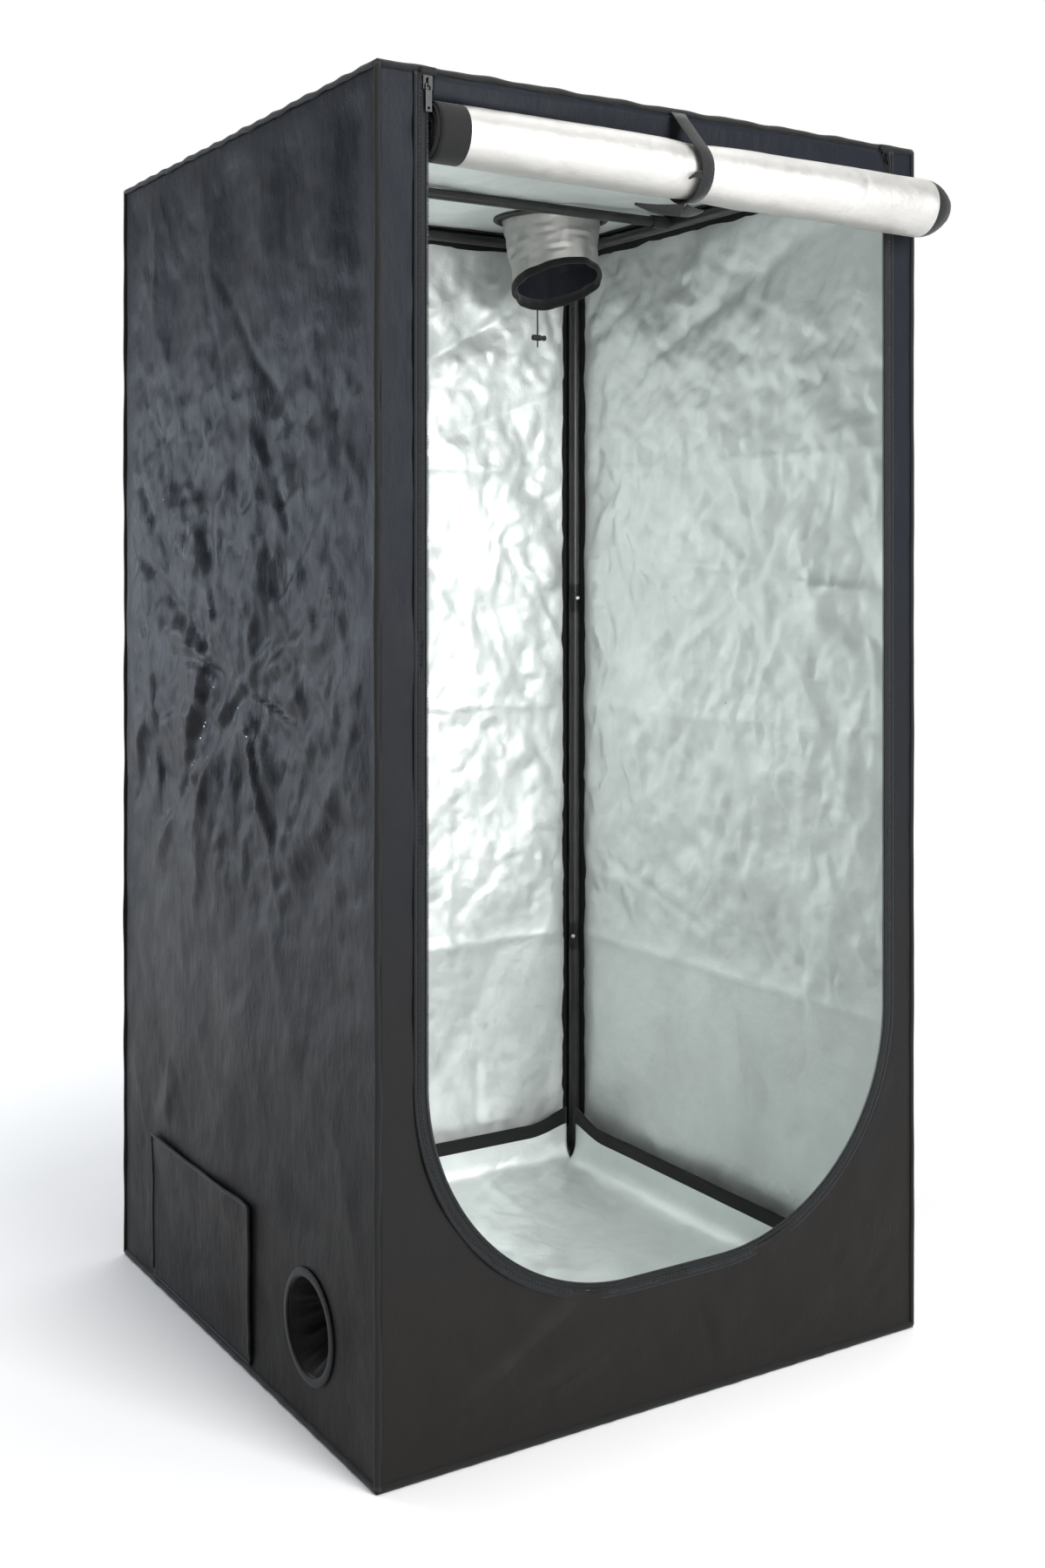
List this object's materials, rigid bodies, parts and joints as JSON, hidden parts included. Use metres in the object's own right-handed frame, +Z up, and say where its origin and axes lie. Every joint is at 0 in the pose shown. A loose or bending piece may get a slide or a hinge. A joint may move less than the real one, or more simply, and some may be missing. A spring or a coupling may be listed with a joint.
{
  "type": "enclosure tent",
  "caption": "Free-standing reflective fabric tent on a pole frame, with a rolled-up zipped door, duct ports, a vent window and a floor tray.",
  "frame": {"origin": "on the floor under the middle of the tent", "axes": "+Z up, the door faces -Y, +X to the right seen from the door"},
  "size_m": [0.823, 0.9122, 1.6],
  "materials": {
    "shell_cloth": "satin coated oxford weave",
    "silver_cloth": "crinkled reflective foil laminate",
    "black_webbing": "matt woven tape",
    "mesh_cloth": "matt knitted mesh",
    "pole_paint": "semi-gloss powder coat on steel tube",
    "corner_plastic": "moulded",
    "zip_metal": "blackened metal",
    "button_steel": "zinc plated"
  },
  "bodies": {
    "tent": {"corner_back_right_bottom": "corner_plastic", "corner_back_left_bottom": "corner_plastic", "corner_front_left_bottom": "corner_plastic", "corner_front_right_bottom": "corner_plastic", "pole_bottom_front": "pole_paint", "pole_bottom_back": "pole_paint", "pole_bottom_left": "pole_paint", "pole_bottom_right": "pole_paint", "corner_back_right_top": "corner_plastic", "corner_back_left_top": "corner_plastic", "corner_front_left_top": "corner_plastic", "corner_front_right_top": "corner_plastic", "pole_top_front": "pole_paint", "pole_top_back": "pole_paint", "pole_top_left": "pole_paint", "pole_top_right": "pole_paint", "post_back_right_lower": "pole_paint", "post_back_right_middle": "pole_paint", "post_back_right_upper": "pole_paint", "post_back_left_lower": "pole_paint", "post_back_left_middle": "pole_paint", "post_back_left_upper": "pole_paint", "post_front_left_lower": "pole_paint", "post_front_left_middle": "pole_paint", "post_front_left_upper": "pole_paint", "post_front_right_lower": "pole_paint", "post_front_right_middle": "pole_paint", "post_front_right_upper": "pole_paint", "left_wall": "shell_cloth", "right_wall": "shell_cloth", "back_wall": "shell_cloth", "front_panel": "shell_cloth", "ceiling": "shell_cloth", "base_sheet": "shell_cloth", "side_sleeve": "shell_cloth", "floor_tray": "silver_cloth", "door_roll": "silver_cloth", "ceiling_sleeve": "silver_cloth", "door_strap": "black_webbing", "door_zip_tape": "black_webbing", "sleeve_drawcord": "black_webbing", "vent_mesh": "mesh_cloth"},
    "zip_slider_left": {"zip_slider_left": "zip_metal"},
    "zip_puller_left": {"zip_puller_left": "zip_metal"},
    "zip_slider_right": {"zip_slider_right": "zip_metal"},
    "zip_puller_right": {"zip_puller_right": "zip_metal"},
    "vent_flap": {"vent_flap": "shell_cloth"},
    "hanging_bar": {"hanging_bar": "pole_paint", "bar_hook_left": "corner_plastic", "bar_hook_right": "corner_plastic"},
    "cord_lock": {"cord_lock_body": "corner_plastic"},
    "cord_plunger": {"cord_lock_plunger": "corner_plastic"},
    "snap_button_back_right_lower": {"snap_button_back_right_lower": "button_steel"},
    "snap_button_back_right_upper": {"snap_button_back_right_upper": "button_steel"},
    "snap_button_back_left_lower": {"snap_button_back_left_lower": "button_steel"},
    "snap_button_back_left_upper": {"snap_button_back_left_upper": "button_steel"},
    "snap_button_front_left_lower": {"snap_button_front_left_lower": "button_steel"},
    "snap_button_front_left_upper": {"snap_button_front_left_upper": "button_steel"},
    "snap_button_front_right_lower": {"snap_button_front_right_lower": "button_steel"},
    "snap_button_front_right_upper": {"snap_button_front_right_upper": "button_steel"}
  },
  "joints": [
    {"name": "zip_slide_left", "type": "slide", "parent": "tent", "child": "zip_slider_left", "axis": [0, 0, 1], "range_m": [-1.12, 0]},
    {"name": "zip_puller_swing_left", "type": "hinge", "parent": "zip_slider_left", "child": "zip_puller_left", "pos_m": [-0.347, -0.4155, 1.5804], "axis": [-1, 0, 0], "range_deg": [0, 150]},
    {"name": "zip_slide_right", "type": "slide", "parent": "tent", "child": "zip_slider_right", "axis": [0, 0, 1], "range_m": [-1.12, 0]},
    {"name": "zip_puller_swing_right", "type": "hinge", "parent": "zip_slider_right", "child": "zip_puller_right", "pos_m": [0.355, -0.4155, 1.5804], "axis": [-1, 0, 0], "range_deg": [0, 150]},
    {"name": "vent_flap_hinge", "type": "hinge", "parent": "tent", "child": "vent_flap", "pos_m": [-0.41155, 0.1085, 0.015], "axis": [0, -1, 0], "range_deg": [0, 95]},
    {"name": "hanging_bar_slide", "type": "slide", "parent": "tent", "child": "hanging_bar", "axis": [0, 1, 0], "range_m": [-0.445, 0.035]},
    {"name": "cord_lock_slide", "type": "slide", "parent": "tent", "child": "cord_lock", "axis": [0, 0, 1], "range_m": [-0.008, 0.03]},
    {"name": "cord_plunger_press", "type": "slide", "parent": "cord_lock", "child": "cord_plunger", "axis": [-1, 0, 0], "range_m": [0, 0.004], "stiffness_N_per_m": 200},
    {"name": "snap_button_press_back_right_lower", "type": "slide", "parent": "tent", "child": "snap_button_back_right_lower", "axis": [0.7071, 0.7071, 0], "range_m": [0, 0.0045], "stiffness_N_per_m": 1000},
    {"name": "snap_button_press_back_right_upper", "type": "slide", "parent": "tent", "child": "snap_button_back_right_upper", "axis": [0, 1, 0], "range_m": [0, 0.0045], "stiffness_N_per_m": 1000},
    {"name": "snap_button_press_back_left_lower", "type": "slide", "parent": "tent", "child": "snap_button_back_left_lower", "axis": [-0.7071, 0.7071, 0], "range_m": [0, 0.0045], "stiffness_N_per_m": 1000},
    {"name": "snap_button_press_back_left_upper", "type": "slide", "parent": "tent", "child": "snap_button_back_left_upper", "axis": [0, 1, 0], "range_m": [0, 0.0045], "stiffness_N_per_m": 1000},
    {"name": "snap_button_press_front_left_lower", "type": "slide", "parent": "tent", "child": "snap_button_front_left_lower", "axis": [-0.7071, -0.7071, 0], "range_m": [0, 0.0045], "stiffness_N_per_m": 1000},
    {"name": "snap_button_press_front_left_upper", "type": "slide", "parent": "tent", "child": "snap_button_front_left_upper", "axis": [0, -1, 0], "range_m": [0, 0.0045], "stiffness_N_per_m": 1000},
    {"name": "snap_button_press_front_right_lower", "type": "slide", "parent": "tent", "child": "snap_button_front_right_lower", "axis": [0.7071, -0.7071, 0], "range_m": [0, 0.0045], "stiffness_N_per_m": 1000},
    {"name": "snap_button_press_front_right_upper", "type": "slide", "parent": "tent", "child": "snap_button_front_right_upper", "axis": [0, -1, 0], "range_m": [0, 0.0045], "stiffness_N_per_m": 1000}
  ]
}
